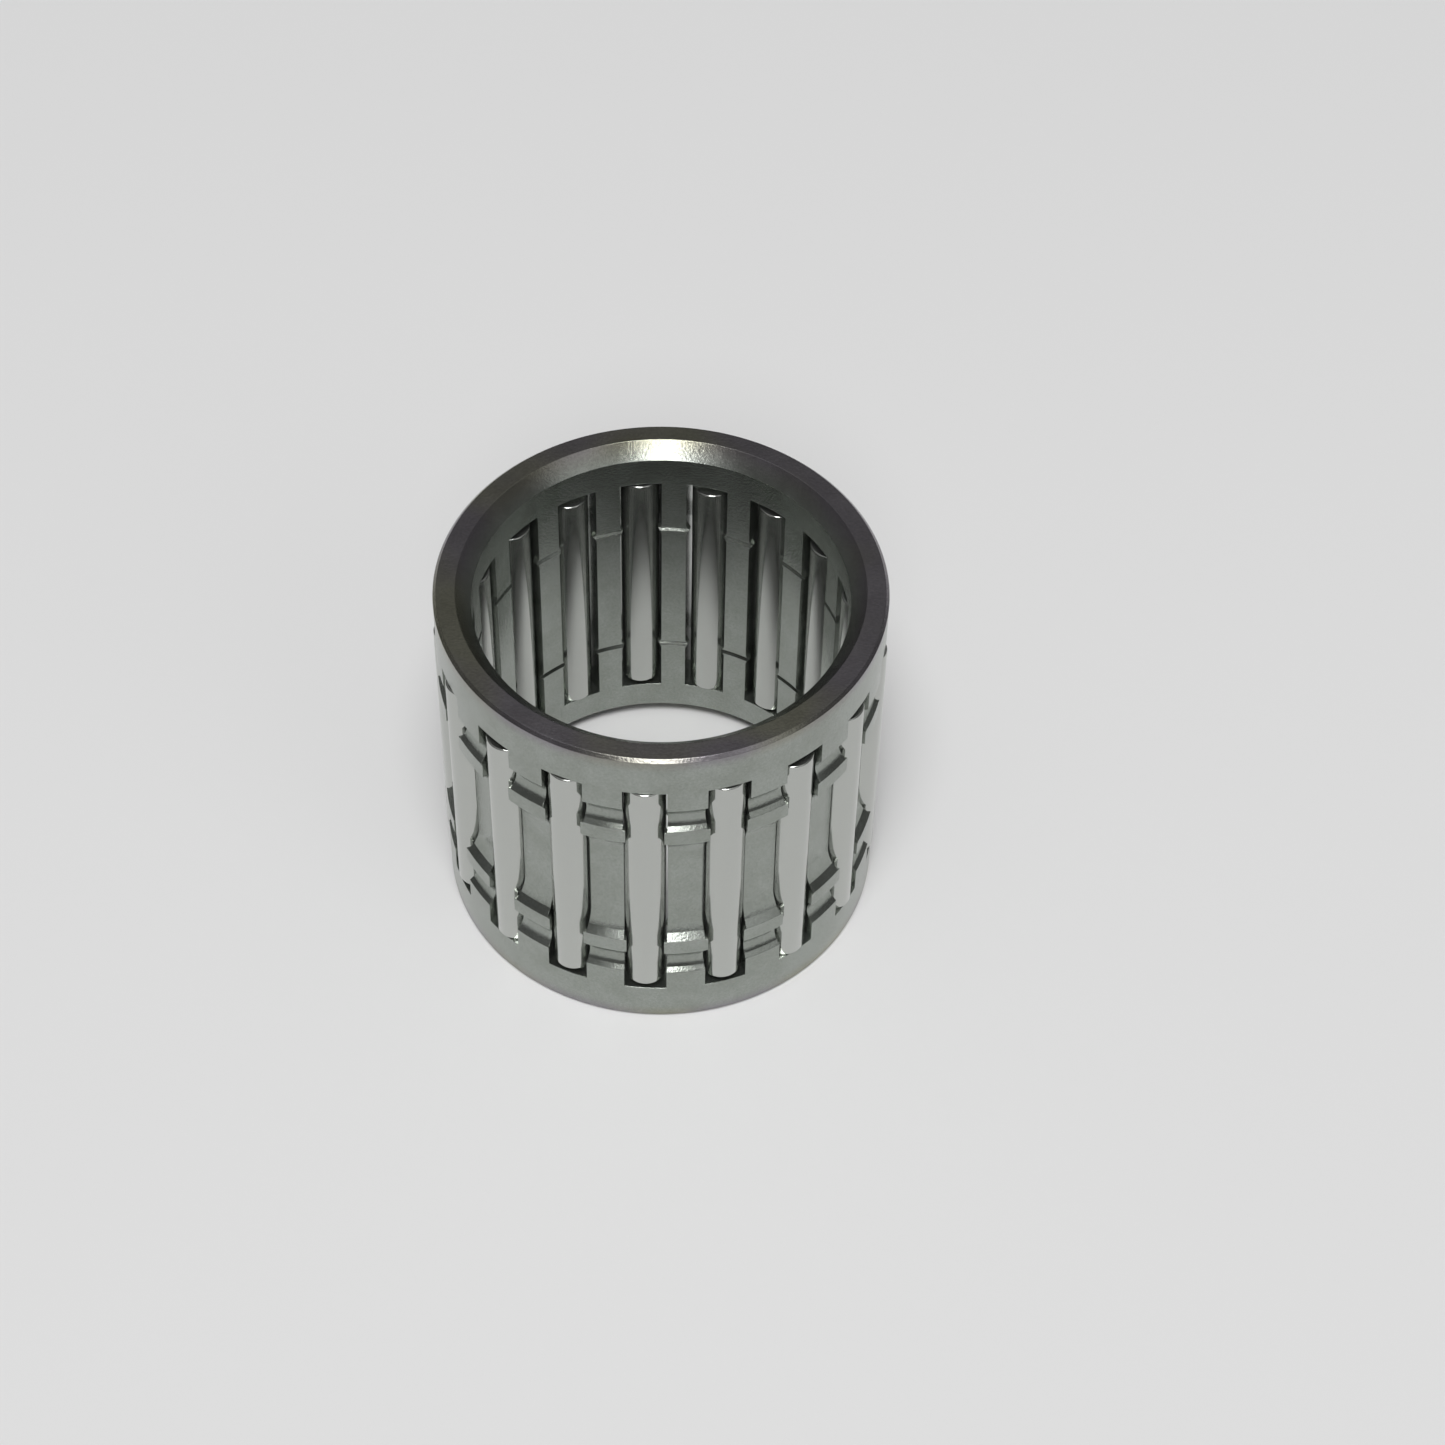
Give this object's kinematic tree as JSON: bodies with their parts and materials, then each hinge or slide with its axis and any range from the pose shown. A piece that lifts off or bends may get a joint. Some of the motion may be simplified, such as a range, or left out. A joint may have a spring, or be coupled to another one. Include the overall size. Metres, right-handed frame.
{
  "type": "needle roller bearing",
  "caption": "Needle roller and cage assembly: a turned steel cage whose lengthwise pockets hold a ring of free-turning steel needle rollers between a shaft and a plain housing bore.",
  "frame": {"origin": "on the bearing's axis, in the plane of the cage's lower end face", "axes": "+Z along the bearing's axis, from the lower end face to the upper one; -Y from the axis through the first roller"},
  "size_m": [0.022, 0.0219, 0.02],
  "materials": {
    "cage_steel": "satin, turned and tumbled",
    "roller_steel": "ground and polished"
  },
  "bodies": {
    "cage": {"cage": "cage_steel"},
    "roller_01": {"roller_01": "roller_steel"},
    "roller_02": {"roller_02": "roller_steel"},
    "roller_03": {"roller_03": "roller_steel"},
    "roller_04": {"roller_04": "roller_steel"},
    "roller_05": {"roller_05": "roller_steel"},
    "roller_06": {"roller_06": "roller_steel"},
    "roller_07": {"roller_07": "roller_steel"},
    "roller_08": {"roller_08": "roller_steel"},
    "roller_09": {"roller_09": "roller_steel"},
    "roller_10": {"roller_10": "roller_steel"},
    "roller_11": {"roller_11": "roller_steel"},
    "roller_12": {"roller_12": "roller_steel"},
    "roller_13": {"roller_13": "roller_steel"},
    "roller_14": {"roller_14": "roller_steel"},
    "roller_15": {"roller_15": "roller_steel"},
    "roller_16": {"roller_16": "roller_steel"},
    "roller_17": {"roller_17": "roller_steel"}
  },
  "joints": [
    {"name": "roller_01_spin", "type": "hinge", "parent": "cage", "child": "roller_01", "pos_m": [0, -0.01, 0.01], "axis": [0, 0, 1], "continuous": true},
    {"name": "roller_02_spin", "type": "hinge", "parent": "cage", "child": "roller_02", "pos_m": [0.00361, -0.00932, 0.01], "axis": [0, 0, 1], "continuous": true},
    {"name": "roller_03_spin", "type": "hinge", "parent": "cage", "child": "roller_03", "pos_m": [0.00674, -0.00739, 0.01], "axis": [0, 0, 1], "continuous": true},
    {"name": "roller_04_spin", "type": "hinge", "parent": "cage", "child": "roller_04", "pos_m": [0.00895, -0.00446, 0.01], "axis": [0, 0, 1], "continuous": true},
    {"name": "roller_05_spin", "type": "hinge", "parent": "cage", "child": "roller_05", "pos_m": [0.00996, -0.00092, 0.01], "axis": [0, 0, 1], "continuous": true},
    {"name": "roller_06_spin", "type": "hinge", "parent": "cage", "child": "roller_06", "pos_m": [0.00962, 0.00274, 0.01], "axis": [0, 0, 1], "continuous": true},
    {"name": "roller_07_spin", "type": "hinge", "parent": "cage", "child": "roller_07", "pos_m": [0.00798, 0.00603, 0.01], "axis": [0, 0, 1], "continuous": true},
    {"name": "roller_08_spin", "type": "hinge", "parent": "cage", "child": "roller_08", "pos_m": [0.00526, 0.0085, 0.01], "axis": [0, 0, 1], "continuous": true},
    {"name": "roller_09_spin", "type": "hinge", "parent": "cage", "child": "roller_09", "pos_m": [0.00184, 0.00983, 0.01], "axis": [0, 0, 1], "continuous": true},
    {"name": "roller_10_spin", "type": "hinge", "parent": "cage", "child": "roller_10", "pos_m": [-0.00184, 0.00983, 0.01], "axis": [0, 0, 1], "continuous": true},
    {"name": "roller_11_spin", "type": "hinge", "parent": "cage", "child": "roller_11", "pos_m": [-0.00526, 0.0085, 0.01], "axis": [0, 0, 1], "continuous": true},
    {"name": "roller_12_spin", "type": "hinge", "parent": "cage", "child": "roller_12", "pos_m": [-0.00798, 0.00603, 0.01], "axis": [0, 0, 1], "continuous": true},
    {"name": "roller_13_spin", "type": "hinge", "parent": "cage", "child": "roller_13", "pos_m": [-0.00962, 0.00274, 0.01], "axis": [0, 0, 1], "continuous": true},
    {"name": "roller_14_spin", "type": "hinge", "parent": "cage", "child": "roller_14", "pos_m": [-0.00996, -0.00092, 0.01], "axis": [0, 0, 1], "continuous": true},
    {"name": "roller_15_spin", "type": "hinge", "parent": "cage", "child": "roller_15", "pos_m": [-0.00895, -0.00446, 0.01], "axis": [0, 0, 1], "continuous": true},
    {"name": "roller_16_spin", "type": "hinge", "parent": "cage", "child": "roller_16", "pos_m": [-0.00674, -0.00739, 0.01], "axis": [0, 0, 1], "continuous": true},
    {"name": "roller_17_spin", "type": "hinge", "parent": "cage", "child": "roller_17", "pos_m": [-0.00361, -0.00932, 0.01], "axis": [0, 0, 1], "continuous": true}
  ]
}
